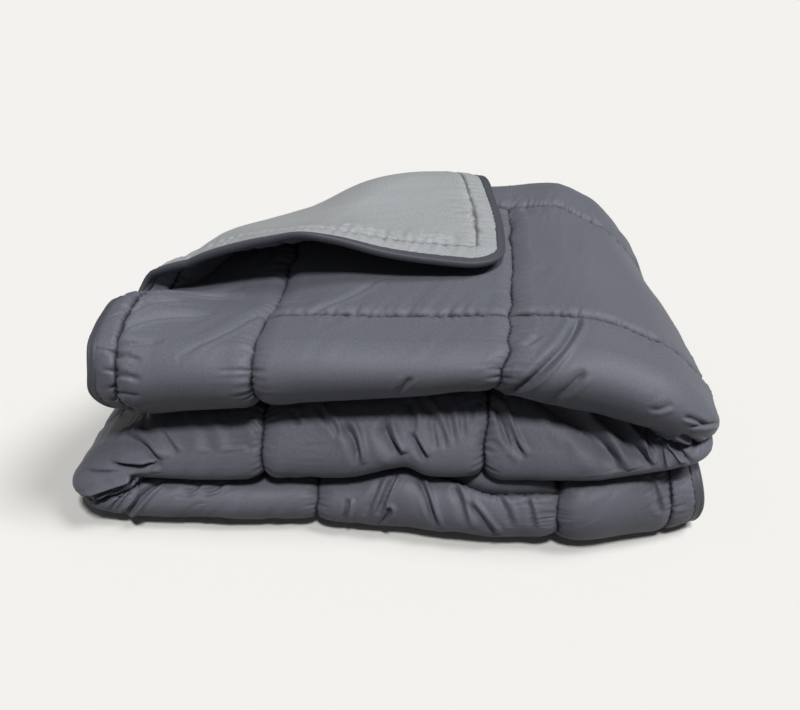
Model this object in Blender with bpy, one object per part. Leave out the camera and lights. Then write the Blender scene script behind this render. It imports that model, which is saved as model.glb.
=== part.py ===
"""A quilted two-colour duvet, 220 x 240 cm, folded for storage: in four across its width, then in three
along its length, with one corner of the top leaf turned back to show the reverse.

The duvet is drawn flat as a rounded rectangle (u along its length, v across its width) and cut along its
seams and folds. It is given its two skins, and then every point is carried through the folds.
Metres, +Z up, +X right, +Y back. The duvet rests on z = 0 with its fold edges towards -Y.
"""

import math

import bmesh
import bpy
import numpy as np
from mathutils import Matrix, Vector

QUARTER = math.pi / 2

# ---- The flat duvet -----------------------------------------------------------------------------------
LENGTH = 2.20                # u, the side that is folded in three
WIDTH = 2.40                 # v, the side that is folded in four
CORNER_RADIUS = 0.045
BINDING_WIDTH = 0.011
BINDING_HALF_THICKNESS = 0.0045
CLEARANCE = 0.0003           # between the binding and the quilted body
HEM_SEAM = 0.036             # from the duvet's edge to the seam that runs along it

LEAF = 0.017                 # thickness of one leaf at a pillow's crown
LEAF_GAP = 0.0045            # between two leaves of a section
HALF = LEAF / 2
PITCH = LEAF + LEAF_GAP      # from one leaf's middle to the next
SEAM_DEPTH_FACE = 0.0115     # how far a quilting seam draws in the face
SEAM_DEPTH_REVERSE = 0.0015  # and the reverse
HEM_DEPTH_FACE = 0.0065      # the same of the hem's seam
HEM_DEPTH_REVERSE = 0.0050
SEAM_SHOULDER = 0.042        # from a seam to the flat crown of its pillow
RIM_HALF_THICKNESS = 0.003   # at the body's edge, inside the binding
HEM_FULLNESS = 0.8           # of the hem band, as a share of a crown
FOLD_PINCH = 0.0020          # how far the filling gives way on the inner side of a tight fold
FOLD_EASE = 0.030            # from a tight fold to where the leaf is full again
THINNEST = 0.0015            # of either side of the hem band

# The quilting: a grid with a plain border all round. Across the strip it is listed as the strip lies,
# a little bunched in places.
SEAMS_U = np.array([0.155, 0.424, 0.690, 0.962, 1.210, 1.480, 1.754, 2.006])
BORDER_V = 0.2515
CELL_V = 0.271
SEAMS_V = BORDER_V + CELL_V * np.arange(8)

# ---- Folding in four across the width: v at each fold's apex -------------------------------------------
FRONT_FOLD_V = 0.649         # the outer fold, which shows along the front
BACK_FOLD_V = 1.22
INNER_FOLD_SETBACK = 0.006   # of the inner front fold, behind the outer one
OUTER_RADIUS = 1.5 * PITCH   # of the outer fold's middle surface
INNER_RADIUS = 0.5 * PITCH   # of the back fold and the inner front fold
SECTION = 3 * PITCH + LEAF   # thickness of a section of four leaves

# ---- Folding in three along the length -----------------------------------------------------------------
SECTION_GAP = 0.006
TURN_RADIUS = (SECTION + SECTION_GAP) / 2
TURN_NEUTRAL = TURN_RADIUS + PITCH
TURN_LENGTH = math.pi * TURN_NEUTRAL     # length of duvet taken up by a turn
LEFT_TURN_X = -0.284
RIGHT_TURN_X = 0.271
BOTTOM_END_X = 0.337
BOTTOM_LENGTH = BOTTOM_END_X - LEFT_TURN_X
MIDDLE_LENGTH = RIGHT_TURN_X - LEFT_TURN_X
TOP_LENGTH = LENGTH - 2 * TURN_LENGTH - BOTTOM_LENGTH - MIDDLE_LENGTH
TOP_END_X = RIGHT_TURN_X - TOP_LENGTH

# ---- The corner that is turned back: its crease starts on the left end of the top leaf ------------------
CREASE_Y = 0.165             # where it starts, behind the front
CREASE_ANGLE = math.radians(44)
FLAP_GAP = 0.006
FLAP_RADIUS = HALF + FLAP_GAP / 2
FLAP_BEND = math.pi * FLAP_RADIUS
FLAP_EDGE_REST = 0.0065      # height of the flap's middle over the leaf below, at its edge
FLAP_EDGE_RISE = 0.09        # and how fast it rises from there
LIFT_REACH = 0.16            # how far in from the flap's front edge the lift below is felt
# How far the flap's front edge stands off the leaf below, from the duvet's corner along the edge.
LIFT_BY_V = np.array([
    # v,   lift
    (0.00, 0.004),
    (0.07, 0.010),
    (0.13, 0.018),
    (0.18, 0.032),
    (0.26, 0.028),
    (0.35, 0.020),
    (0.42, 0.010),
    (0.47, 0.000),
])

# ---- How the pile settles --------------------------------------------------------------------------------
# Thickness of each section along the front.
SECTIONS_BY_X = np.array([
    # x,    bottom, middle, top
    (-0.38, 0.052, 0.072, 0.072),
    (-0.25, 0.058, 0.086, 0.086),
    (-0.10, 0.060, 0.098, 0.083),
    (0.00, 0.070, 0.093, 0.080),
    (0.10, 0.076, 0.096, 0.076),
    (0.20, 0.088, 0.072, 0.090),
    (0.28, 0.098, 0.048, 0.082),
    (0.36, 0.090, 0.044, 0.060),
])
# The pile's height from front to back, as a share of its height along the front.
HEIGHT_BY_Y = np.array([
    # y,   share
    (0.00, 0.97),
    (0.10, 0.99),
    (0.25, 1.05),
    (0.36, 1.09),
    (0.44, 1.10),
    (0.50, 1.01),
    (0.56, 0.85),
    (0.62, 0.68),
    (0.68, 0.54),
    (0.74, 0.46),
])
CORNER_SLUMP = 0.52          # share of the height that is lost behind the turned-back corner
SLUMP_LENGTH = 0.46          # over this distance
SLUMP_LEAD = 0.11            # which starts this far before the crease, at the left
LEAD_X = 0.06                # and at the crease from here on
LEAD_REACH = 0.22
# How far the front of each section stands back.
FRONT_BY_X = np.array([
    # x,    bottom, middle, top
    (-0.38, 0.004, 0.006, 0.010),
    (-0.25, 0.002, 0.006, 0.000),
    (-0.09, 0.020, 0.010, 0.004),
    (0.02, 0.019, 0.006, 0.010),
    (0.11, 0.008, 0.012, 0.012),
    (0.17, 0.001, 0.006, 0.004),
    (0.27, 0.002, 0.004, 0.000),
    (0.36, 0.034, 0.010, 0.012),
])
FRONT_REACH = 0.35           # how far back that is felt
# How far to the right each height of the pile leans, at its left end and along its middle.
LEAN_BY_Z = np.array([
    # z,   left,   middle
    (0.00, -0.004, 0.000),
    (0.05, -0.004, 0.000),
    (0.13, 0.034, 0.000),
    (0.16, 0.028, 0.000),
    (0.19, 0.008, 0.004),
    (0.22, -0.004, 0.012),
    (0.25, -0.004, 0.024),
    (0.31, 0.004, 0.052),
])
LEAN_LEFT_X = -0.36
LEAN_LEFT_REACH = 0.24
LEAN_MIDDLE_X = 0.11
LEAN_MIDDLE_REACH = 0.25
RIGHT_PULL = 0.13            # how fast the right side draws in towards the back
PULL_FROM_Y = 0.08


def smooth_table(at, stations, values):
    """A smooth curve through a short table, level beyond its ends."""
    slopes = np.gradient(values, stations)
    at = np.clip(at, stations[0], stations[-1])
    i = np.clip(np.searchsorted(stations, at, side="right") - 1, 0, len(stations) - 2)
    step = stations[i + 1] - stations[i]
    t = (at - stations[i]) / step
    return (
        values[i] * (1 + 2 * t) * (1 - t) ** 2
        + values[i + 1] * t * t * (3 - 2 * t)
        + step * (slopes[i] * t * (1 - t) ** 2 - slopes[i + 1] * t * t * (1 - t))
    )


def smooth_step(t):
    t = np.clip(t, 0, 1)
    return t * t * (3 - 2 * t)


# ---- Folding in four --------------------------------------------------------------------------------------
FRONT_NEUTRAL = OUTER_RADIUS + HALF     # the skin outside a fold keeps its length
INNER_NEUTRAL = INNER_RADIUS + HALF
FRONT_Y = OUTER_RADIUS + HALF
LEAF_END_V = FRONT_FOLD_V - QUARTER * FRONT_NEUTRAL
BACK_Y = FRONT_Y + BACK_FOLD_V - FRONT_FOLD_V - QUARTER * (FRONT_NEUTRAL + INNER_NEUTRAL)
INNER_Y = FRONT_Y + INNER_FOLD_SETBACK
INNER_FOLD_V = BACK_FOLD_V + BACK_Y - INNER_Y + 2 * QUARTER * INNER_NEUTRAL


def fold_in_four(v, n):
    """Depth y, and height q above the section's middle plane, of a point n above the middle surface."""
    outer = np.clip((FRONT_FOLD_V - v) / FRONT_NEUTRAL, -QUARTER, QUARTER)
    back = np.clip((v - BACK_FOLD_V) / INNER_NEUTRAL, -QUARTER, QUARTER)
    inner = np.clip((v - INNER_FOLD_V) / INNER_NEUTRAL, -QUARTER, QUARTER)
    off_outer = np.maximum(np.abs(v - FRONT_FOLD_V) - QUARTER * FRONT_NEUTRAL, 0)
    off_back = np.maximum(np.abs(v - BACK_FOLD_V) - QUARTER * INNER_NEUTRAL, 0)
    off_inner = np.maximum(np.abs(v - INNER_FOLD_V) - QUARTER * INNER_NEUTRAL, 0)
    zones = [v < (FRONT_FOLD_V + BACK_FOLD_V) / 2, v < (BACK_FOLD_V + INNER_FOLD_V) / 2]
    y = np.select(
        zones,
        [
            FRONT_Y - (OUTER_RADIUS + n) * np.cos(outer) + off_outer,
            BACK_Y + (INNER_RADIUS + n) * np.cos(back) - off_back,
        ],
        INNER_Y - (INNER_RADIUS - n) * np.cos(inner) + off_inner,
    )
    q = np.select(
        zones,
        [(OUTER_RADIUS + n) * np.sin(outer), -PITCH + (INNER_RADIUS + n) * np.sin(back)],
        (INNER_RADIUS - n) * np.sin(inner),
    )
    return y, q


# ---- Folding in three -----------------------------------------------------------------------------------
LEFT_TURN_U = BOTTOM_LENGTH
MIDDLE_U = LEFT_TURN_U + TURN_LENGTH
RIGHT_TURN_U = MIDDLE_U + MIDDLE_LENGTH
TOP_U = RIGHT_TURN_U + TURN_LENGTH
BOTTOM_Z = SECTION / 2
MIDDLE_Z = BOTTOM_Z + 2 * TURN_RADIUS
TOP_Z = MIDDLE_Z + 2 * TURN_RADIUS


def fold_in_three(u, q):
    """x and z of a point q above the middle plane of the strip at u."""
    left = np.clip((u - LEFT_TURN_U) / TURN_NEUTRAL, 0, math.pi)
    right = np.clip((u - RIGHT_TURN_U) / TURN_NEUTRAL, 0, math.pi)
    off_left = np.maximum(LEFT_TURN_U - u, 0) + np.maximum(u - MIDDLE_U, 0)
    off_right = np.maximum(RIGHT_TURN_U - u, 0) + np.maximum(u - TOP_U, 0)
    near_left = u < (MIDDLE_U + RIGHT_TURN_U) / 2
    x = np.where(
        near_left,
        LEFT_TURN_X + off_left - (TURN_RADIUS - q) * np.sin(left),
        RIGHT_TURN_X - off_right + (TURN_RADIUS + q) * np.sin(right),
    )
    z = np.where(
        near_left,
        BOTTOM_Z + TURN_RADIUS - (TURN_RADIUS - q) * np.cos(left),
        MIDDLE_Z + TURN_RADIUS - (TURN_RADIUS + q) * np.cos(right),
    )
    return x, z


# ---- Turning the corner back ----------------------------------------------------------------------------
ACROSS = (-math.sin(CREASE_ANGLE), math.cos(CREASE_ANGLE))    # in plan, from the crease to the corner
TOP_FACE_Z = TOP_Z + OUTER_RADIUS


def past_crease(u, v):
    """How far a point of the top leaf lies beyond the crease, towards the corner. Negative elsewhere."""
    x = RIGHT_TURN_X - (u - TOP_U)
    y = FRONT_Y + LEAF_END_V - v
    past = (x - TOP_END_X) * ACROSS[0] + (y - CREASE_Y) * ACROSS[1]
    return np.where((u > TOP_U) & (v < LEAF_END_V), past, -1.0)


def turn_back(u, v, n, x, y, z):
    """Carries the points beyond the crease over it, onto the top leaf."""
    past = past_crease(u, v)
    beyond = past > 0
    bend = np.clip(past / FLAP_RADIUS, 0, math.pi)
    shift = (FLAP_RADIUS - n) * np.sin(bend) - np.maximum(past - FLAP_BEND, 0) - past
    laid = bend / math.pi
    in_from_edge = np.maximum(edge_distance(u, v), 0)
    sag = HALF - np.minimum(HALF, FLAP_EDGE_REST + FLAP_EDGE_RISE * in_from_edge)
    near_front_edge = np.clip(1 - (LENGTH - u) / LIFT_REACH, 0, 1) ** 2
    lift = smooth_table(v, LIFT_BY_V[:, 0], LIFT_BY_V[:, 1]) * near_front_edge
    turned_z = TOP_FACE_Z + FLAP_RADIUS - (FLAP_RADIUS - n) * np.cos(bend) + (lift - sag) * laid
    return (
        np.where(beyond, x + ACROSS[0] * shift, x),
        np.where(beyond, y + ACROSS[1] * shift, y),
        np.where(beyond, turned_z, z),
    )


# ---- Settling -------------------------------------------------------------------------------------------
SECTION_TOPS = (BOTTOM_Z + TURN_RADIUS, MIDDLE_Z + TURN_RADIUS, TOP_Z + SECTION / 2)


def settle(x, y, z):
    """Carries the evenly folded pile to the shape in which it lies."""
    behind_crease = (x - TOP_END_X) * ACROSS[0] + (y - CREASE_Y) * ACROSS[1]
    share = smooth_table(y, HEIGHT_BY_Y[:, 0], HEIGHT_BY_Y[:, 1])
    lead = SLUMP_LEAD * smooth_step((LEAD_X - x) / LEAD_REACH)
    share = share * (1 - CORNER_SLUMP * smooth_step((behind_crease + lead) / SLUMP_LENGTH))
    settled = 0.0
    setback = 0.0
    below = 0.0
    for section, above in enumerate(SECTION_TOPS, start=1):
        topmost = section == len(SECTION_TOPS)
        filled = np.clip((z - below) / (above - below), 0, None if topmost else 1)
        settled = settled + filled * share * smooth_table(x, SECTIONS_BY_X[:, 0], SECTIONS_BY_X[:, section])
        from_middle = np.abs(z - (above + below) / 2) / (above - below)
        column = smooth_table(x, FRONT_BY_X[:, 0], FRONT_BY_X[:, section])
        setback = setback + column * smooth_step(1.3 - from_middle)
        below = above
    left = smooth_step((LEAN_LEFT_X + LEAN_LEFT_REACH - x) / LEAN_LEFT_REACH)
    middle = smooth_step(1 - np.abs(x - LEAN_MIDDLE_X) / LEAN_MIDDLE_REACH)
    lean = left * smooth_table(settled, LEAN_BY_Z[:, 0], LEAN_BY_Z[:, 1])
    lean = lean + middle * smooth_table(settled, LEAN_BY_Z[:, 0], LEAN_BY_Z[:, 2])
    pull = RIGHT_PULL * np.maximum(y - PULL_FROM_Y, 0) * smooth_step(x / RIGHT_TURN_X)
    return x + lean - pull, y + setback * np.clip(1 - y / FRONT_REACH, 0, 1), settled


def fold(u, v, n):
    """Where the point n above the middle surface at (u, v) of the flat duvet lies in the folded one."""
    y, q = fold_in_four(v, n)
    x, z = fold_in_three(u, q)
    return settle(*turn_back(u, v, n, x, y, z))


# ---- Thickness: pillows between seams ---------------------------------------------------------------------
def edge_distance(u, v):
    """How far a flat point lies inside the duvet's rounded outline."""
    from_end = np.minimum(u, LENGTH - u)
    from_side = np.minimum(v, WIDTH - v)
    a = CORNER_RADIUS - from_end
    b = CORNER_RADIUS - from_side
    return np.where((a > 0) & (b > 0), CORNER_RADIUS - np.hypot(a, b), np.minimum(from_end, from_side))


def drawn_in(distance):
    """1 on a seam, falling to 0 at the crown of the pillow."""
    return np.clip(1 - distance / SEAM_SHOULDER, 0, 1) ** 1.8


def grid_distance(u, v):
    """How far a flat point lies from the quilting grid, which stops short of the duvet's edges."""
    to_u = np.abs(u[:, None] - SEAMS_U).min(axis=1)
    to_v = np.abs(v[:, None] - SEAMS_V).min(axis=1)
    past_u = np.maximum(np.maximum(SEAMS_U[0] - u, u - SEAMS_U[-1]), 0)
    past_v = np.maximum(np.maximum(SEAMS_V[0] - v, v - SEAMS_V[-1]), 0)
    return np.minimum(np.hypot(to_u, past_v), np.hypot(to_v, past_u))


def near_fold(distance, half_length):
    """1 within a fold, falling to 0 where the leaf is full again."""
    return np.clip(1 - (distance - half_length) / FOLD_EASE, 0, 1)


def pinch(u, v, face):
    """How far the filling gives way on the inner side of the tight folds."""
    if not face:
        return FOLD_PINCH * near_fold(np.abs(v - BACK_FOLD_V), QUARTER * INNER_NEUTRAL)
    half_turn = TURN_LENGTH / 2
    in_turn = np.maximum(
        near_fold(np.abs(u - LEFT_TURN_U - half_turn), half_turn),
        near_fold(np.abs(u - RIGHT_TURN_U - half_turn), half_turn),
    )
    at_crease = near_fold(np.abs(past_crease(u, v) - FLAP_BEND / 2), FLAP_BEND / 2)
    at_inner = near_fold(np.abs(v - INNER_FOLD_V), QUARTER * INNER_NEUTRAL)
    return FOLD_PINCH * np.maximum(np.maximum(in_turn, at_crease), at_inner)


def skin_offset(u, v, face):
    """Offset of the face (up) or of the reverse (down) from the leaf's middle surface."""
    from_edge = edge_distance(u, v)
    inside = np.clip((from_edge - BINDING_WIDTH - CLEARANCE) / (HEM_SEAM - BINDING_WIDTH), 0, 1)
    band = RIM_HALF_THICKNESS + (HEM_FULLNESS * HALF - RIM_HALF_THICKNESS) * np.sqrt(inside)
    grid = drawn_in(grid_distance(u, v))
    hem = drawn_in(np.abs(from_edge - HEM_SEAM))
    given_way = pinch(u, v, face) * inside * (1 - grid)
    seam_depth, hem_depth = (
        (SEAM_DEPTH_FACE, HEM_DEPTH_FACE) if face else (SEAM_DEPTH_REVERSE, HEM_DEPTH_REVERSE)
    )
    pillow = HALF - np.maximum(seam_depth * grid, hem_depth * hem) - given_way
    band = np.maximum(np.minimum(band, pillow), THINNEST)
    return np.where(inside < 1, band, pillow) * (1 if face else -1)


# ---- Mesh -----------------------------------------------------------------------------------------------
HEM_LINES = (0.022, HEM_SEAM, 0.070)
TURN_STEPS = 8
FRONT_STEPS = 8
INNER_STEPS = 6
CREASE_STEPS = 6
CORNER_STEPS = 5
LEVEL_YS = (0.24, 0.30, 0.36, 0.42, 0.48, 0.54, 0.61)    # where the leaves have lines one over another
FLAP_YS = (0.26, 0.34, 0.40, 0.45, 0.50)          # where the turned-back corner has lines of its own
SHOWN_V = FRONT_FOLD_V + QUARTER * FRONT_NEUTRAL + 0.05    # the duvet beyond this lies inside the pile
CLOSEST = 0.018                                   # of an added line to a seam or a fold line


def through_leaves(y):
    """v of a line at depth y, in each leaf of a section that reaches as far back as that."""
    outer = [LEAF_END_V + FRONT_Y - y, INNER_FOLD_V + QUARTER * INNER_NEUTRAL + y - INNER_Y]
    if y > BACK_Y:
        return outer
    return outer + [
        FRONT_FOLD_V + QUARTER * FRONT_NEUTRAL + y - FRONT_Y,
        BACK_FOLD_V + QUARTER * INNER_NEUTRAL + BACK_Y - y,
    ]


def spaced(lines, kept, nearest):
    """The lines that are not too near one kept before them."""
    added = []
    for line in lines:
        if all(abs(line - other) > nearest for other in list(kept) + added):
            added.append(line)
    return added


def main_lines(length, seams, bends):
    """Lines that have to be cut: the hems', the seams' and the folds'. A fold line gives way to a seam."""
    lines = [line for inset in HEM_LINES for line in (inset, length - inset)] + list(seams)
    for start, end, steps in bends:
        lines += spaced(np.linspace(start, end, steps + 1), lines, 0.004)
    return lines


def shoulders_of(seams):
    return [seam + side * SEAM_SHOULDER for seam in seams for side in (-1, 1)]


def lines_u():
    """Lines across the strip: for all of it, and for where it shows or rests."""
    turns = [(start, start + TURN_LENGTH, TURN_STEPS) for start in (LEFT_TURN_U, RIGHT_TURN_U)]
    lines = main_lines(LENGTH, SEAMS_U, turns)
    lines += spaced((SEAMS_U[1:] + SEAMS_U[:-1]) / 2, lines, CLOSEST)
    return lines, spaced(shoulders_of(SEAMS_U), lines, CLOSEST)


def lines_v():
    """Lines along the strip: for all of it, and for the leaf that the pile rests on."""
    folds = [
        (apex - QUARTER * neutral, apex + QUARTER * neutral, steps)
        for apex, neutral, steps in (
            (FRONT_FOLD_V, FRONT_NEUTRAL, FRONT_STEPS),
            (BACK_FOLD_V, INNER_NEUTRAL, INNER_STEPS),
            (INNER_FOLD_V, INNER_NEUTRAL, INNER_STEPS),
        )
    ]
    lines = main_lines(WIDTH, SEAMS_V, folds)
    level = [line for y in LEVEL_YS for line in through_leaves(y)]
    lines += spaced(level, lines, CLOSEST)
    lines += spaced(shoulders_of(SEAMS_V[SEAMS_V < SHOWN_V]), lines, CLOSEST)
    under = SEAMS_V[(SEAMS_V > SHOWN_V) & (SEAMS_V < BACK_FOLD_V)]
    return lines, spaced(shoulders_of(under), lines, 0.5 * CLOSEST)


def rounded_outline(inset):
    """The duvet's rounded outline, in order, inset by that much."""
    radius = CORNER_RADIUS - inset
    centres = (
        (LENGTH - CORNER_RADIUS, WIDTH - CORNER_RADIUS),
        (CORNER_RADIUS, WIDTH - CORNER_RADIUS),
        (CORNER_RADIUS, CORNER_RADIUS),
        (LENGTH - CORNER_RADIUS, CORNER_RADIUS),
    )
    points = []
    for corner, (cu, cv) in enumerate(centres):
        for step in range(CORNER_STEPS + 1):
            turn = (corner + step / CORNER_STEPS) * QUARTER
            points.append((cu + radius * math.cos(turn), cv + radius * math.sin(turn)))
    return points


def cut(mesh, point, normal, faces):
    edges = {edge for face in faces for edge in face.edges}
    verts = {vert for face in faces for vert in face.verts}
    pieces = list(faces) + list(edges) + list(verts)
    bmesh.ops.bisect_plane(mesh, geom=pieces, dist=1e-6, plane_co=point, plane_no=normal)


def faces_past_crease(mesh, nearest, farthest):
    """The flat faces of the top leaf that lie, at least in part, that far beyond the crease."""
    found = []
    for face in mesh.faces:
        centre = face.calc_center_median()
        if centre.x < TOP_U or centre.y > LEAF_END_V:
            continue
        u = np.array([max(vert.co.x, TOP_U + 1e-6) for vert in face.verts])
        v = np.array([min(vert.co.y, LEAF_END_V - 1e-6) for vert in face.verts])
        past = past_crease(u, v)
        if past.max() > nearest + 1e-5 and past.min() < farthest - 1e-5:
            found.append(face)
    return found


def shows(face):
    return face.calc_center_median().y < SHOWN_V


def lies_under(face):
    """Whether the face is in the leaf that the pile rests on."""
    centre = face.calc_center_median()
    return centre.x < LEFT_TURN_U and centre.y < BACK_FOLD_V - QUARTER * INNER_NEUTRAL


def flat_sheet():
    """The quilted body laid flat as a single triangulated sheet, cut along its seams and folds."""
    mesh = bmesh.new()
    mesh.faces.new([mesh.verts.new((u, v, 0)) for u, v in rounded_outline(BINDING_WIDTH + CLEARANCE)])
    across, across_shown = lines_u()
    along, along_underside = lines_v()
    for line in along:
        cut(mesh, (0, line, 0), (0, 1, 0), list(mesh.faces))
    for line in across:
        cut(mesh, (line, 0, 0), (1, 0, 0), list(mesh.faces))
    for line in across_shown:
        shown = [face for face in mesh.faces if shows(face) or lies_under(face)]
        cut(mesh, (line, 0, 0), (1, 0, 0), shown)
    for line in along_underside:
        cut(mesh, (0, line, 0), (0, 1, 0), [face for face in mesh.faces if lies_under(face)])
    # Plan x falls as u grows, and plan y falls as v grows.
    outward_normal = Vector((-ACROSS[0], -ACROSS[1], 0))
    start = Vector((TOP_U + RIGHT_TURN_X - TOP_END_X, FRONT_Y + LEAF_END_V - CREASE_Y, 0))
    for past in np.linspace(0, FLAP_BEND, CREASE_STEPS + 1):
        cut(mesh, start + outward_normal * past, outward_normal, faces_past_crease(mesh, 0, FLAP_BEND))
    # A line of the turned corner that comes to lie straight across the pile at depth y.
    lying_normal = Vector((2 * ACROSS[0] * ACROSS[1], 2 * ACROSS[1] ** 2 - 1, 0))
    for y in FLAP_YS:
        slide = y - CREASE_Y - FLAP_BEND * ACROSS[1]
        point = start + lying_normal * (slide / lying_normal.length_squared)
        cut(mesh, point, lying_normal, faces_past_crease(mesh, FLAP_BEND, LENGTH))
    bmesh.ops.triangulate(mesh, faces=list(mesh.faces))
    return mesh


def rim_of(mesh):
    """The flat sheet's outline vertices, in order, anticlockwise."""
    ahead = {}
    for edge in mesh.edges:
        if edge.is_boundary:
            loop = edge.link_loops[0]
            ahead[loop.vert] = loop.link_loop_next.vert
    start = next(iter(ahead))
    ordered = [start]
    while ahead[ordered[-1]] is not start:
        ordered.append(ahead[ordered[-1]])
    return ordered


def strip(mesh, lower, upper, forward=True):
    """Triangles between two closed rows of vertices, all split the same way."""
    for i in range(len(lower)):
        j = (i + 1) % len(lower)
        if forward:
            corners = ((lower[i], lower[j], upper[j]), (lower[i], upper[j], upper[i]))
        else:
            corners = ((lower[i], lower[j], upper[i]), (lower[j], upper[j], upper[i]))
        for corner in corners:
            mesh.faces.new(corner)


def folded_vertices(mesh, u, v, n):
    return [mesh.verts.new(place) for place in np.stack(fold(u, v, n), axis=1)]


def linked(name, mesh, materials):
    data = bpy.data.meshes.new(name)
    mesh.to_mesh(data)
    mesh.free()
    for material in materials:
        data.materials.append(material)
    data.shade_smooth()
    obj = bpy.data.objects.new(name, data)
    bpy.context.scene.collection.objects.link(obj)
    return obj


def quilted_body(sheet, face_fabric, reverse_fabric):
    """The filled duvet: the sheet's two skins, carried through the folds, and the wall at its rim."""
    sheet.verts.index_update()
    u = np.array([vert.co.x for vert in sheet.verts])
    v = np.array([vert.co.y for vert in sheet.verts])
    mesh = bmesh.new()
    upper = folded_vertices(mesh, u, v, skin_offset(u, v, True))
    lower = folded_vertices(mesh, u, v, skin_offset(u, v, False))
    for face in sheet.faces:
        corners = [vert.index for vert in face.verts]
        mesh.faces.new([upper[i] for i in corners])
        mesh.faces.new([lower[i] for i in reversed(corners)]).material_index = 1
    rim = [vert.index for vert in rim_of(sheet)]
    strip(mesh, [lower[i] for i in rim], [upper[i] for i in rim])
    return linked("quilted_body", mesh, (face_fabric, reverse_fabric))


def outward(u, v):
    """The direction out of the flat outline at points near it."""
    du = np.maximum(u - (LENGTH - CORNER_RADIUS), 0) - np.maximum(CORNER_RADIUS - u, 0)
    dv = np.maximum(v - (WIDTH - CORNER_RADIUS), 0) - np.maximum(CORNER_RADIUS - v, 0)
    size = np.hypot(du, dv)
    return du / size, dv / size


# The binding's section: outward from the body's edge, and above its middle.
BINDING_SECTION = (
    (0.0, -RIM_HALF_THICKNESS),
    (0.5 * BINDING_WIDTH, -BINDING_HALF_THICKNESS),
    (BINDING_WIDTH, -0.4 * BINDING_HALF_THICKNESS),
    (BINDING_WIDTH, 0.4 * BINDING_HALF_THICKNESS),
    (0.5 * BINDING_WIDTH, BINDING_HALF_THICKNESS),
    (0.0, RIM_HALF_THICKNESS),
)


def binding(sheet, tape):
    """The tape round the edge: its section swept along the sheet's rim and carried through the folds."""
    rim = rim_of(sheet)
    u = np.array([vert.co.x for vert in rim])
    v = np.array([vert.co.y for vert in rim])
    du, dv = outward(u, v)
    mesh = bmesh.new()
    rows = []
    for out, up in BINDING_SECTION:
        reach = CLEARANCE + out
        rows.append(folded_vertices(mesh, u + du * reach, v + dv * reach, np.full(len(u), up)))
    for row, following in zip(rows, rows[1:]):
        strip(mesh, row, following)
    # The wall that faces the body is split as the body's own wall is, so that the two stay parallel.
    strip(mesh, rows[-1], rows[0], forward=False)
    return linked("binding", mesh, (tape,))


def material(name, colour, roughness):
    made = bpy.data.materials.new(name)
    made.use_nodes = True
    shader = made.node_tree.nodes["Principled BSDF"]
    shader.inputs["Base Color"].default_value = (*colour, 1)
    shader.inputs["Roughness"].default_value = roughness
    shader.inputs["Metallic"].default_value = 0
    return made


def centre(objects):
    """Moves the objects together so that the middle of their common box lies over the origin."""
    points = np.array([vert.co for obj in objects for vert in obj.data.vertices])
    middle = (points.min(axis=0) + points.max(axis=0)) / 2
    for obj in objects:
        obj.data.transform(Matrix.Translation((-middle[0], -middle[1], 0)))


def main():
    for obj in list(bpy.data.objects):
        bpy.data.objects.remove(obj)
    sheet = flat_sheet()
    body = quilted_body(
        sheet,
        material("face_fabric", (0.085, 0.090, 0.105), 0.62),
        material("reverse_fabric", (0.42, 0.44, 0.45), 0.66),
    )
    tape = binding(sheet, material("binding_tape", (0.105, 0.112, 0.128), 0.60))
    sheet.free()
    centre([body, tape])


main()
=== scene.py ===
"""The looks of the folded quilted duvet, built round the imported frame.

The duvet is one quilt, so its cloth is drawn flat (u along its length, v across its width), puffed between
its seams, and carried through the same folds as the solid that it replaces. The rows of cells that show are
then relaxed as cloth with a little too much length for its seams, which is what gathers it along them.
The quilting's pattern has columns (u) and rows of its own, and wavered() and slid() place it on the cloth.
Metres, +Z up, +X right, +Y back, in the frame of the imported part.
"""

import math

import bpy
import numpy as np
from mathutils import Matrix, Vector


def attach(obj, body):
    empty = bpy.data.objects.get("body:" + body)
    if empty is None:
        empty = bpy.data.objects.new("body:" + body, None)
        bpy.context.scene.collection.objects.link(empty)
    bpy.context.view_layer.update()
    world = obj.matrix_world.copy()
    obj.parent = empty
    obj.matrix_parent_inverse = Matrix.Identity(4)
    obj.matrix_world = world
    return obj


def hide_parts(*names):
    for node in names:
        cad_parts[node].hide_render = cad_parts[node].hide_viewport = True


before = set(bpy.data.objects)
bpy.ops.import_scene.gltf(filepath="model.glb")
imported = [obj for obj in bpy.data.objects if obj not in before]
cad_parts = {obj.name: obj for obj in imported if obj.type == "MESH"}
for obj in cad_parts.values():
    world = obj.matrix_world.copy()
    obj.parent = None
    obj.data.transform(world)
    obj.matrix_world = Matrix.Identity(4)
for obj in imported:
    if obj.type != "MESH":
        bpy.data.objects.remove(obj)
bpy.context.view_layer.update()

QUARTER = math.pi / 2


# ---- Curves
def smooth_step(t):
    """0 up to t = 0, 1 from t = 1, and smooth between."""
    t = np.clip(t, 0, 1)
    return t * t * (3 - 2 * t)


def smooth_table(at, table, column=1):
    """A smooth curve of a short table's column over its first one, level beyond its ends."""
    stations, values = table[:, 0], table[:, column]
    slopes = np.gradient(values, stations)
    at = np.clip(at, stations[0], stations[-1])
    i = np.clip(np.searchsorted(stations, at, side="right") - 1, 0, len(stations) - 2)
    step = stations[i + 1] - stations[i]
    t = (at - stations[i]) / step
    return (
        values[i] * (1 + 2 * t) * (1 - t) ** 2
        + values[i + 1] * t * t * (3 - 2 * t)
        + step * (slopes[i] * t * (1 - t) ** 2 - slopes[i + 1] * t * t * (1 - t))
    )


def mound(*offsets):
    """1 where every offset is 0, falling away smoothly as any of them passes about 1."""
    return np.exp(-sum(offset ** 2 for offset in offsets))


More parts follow.
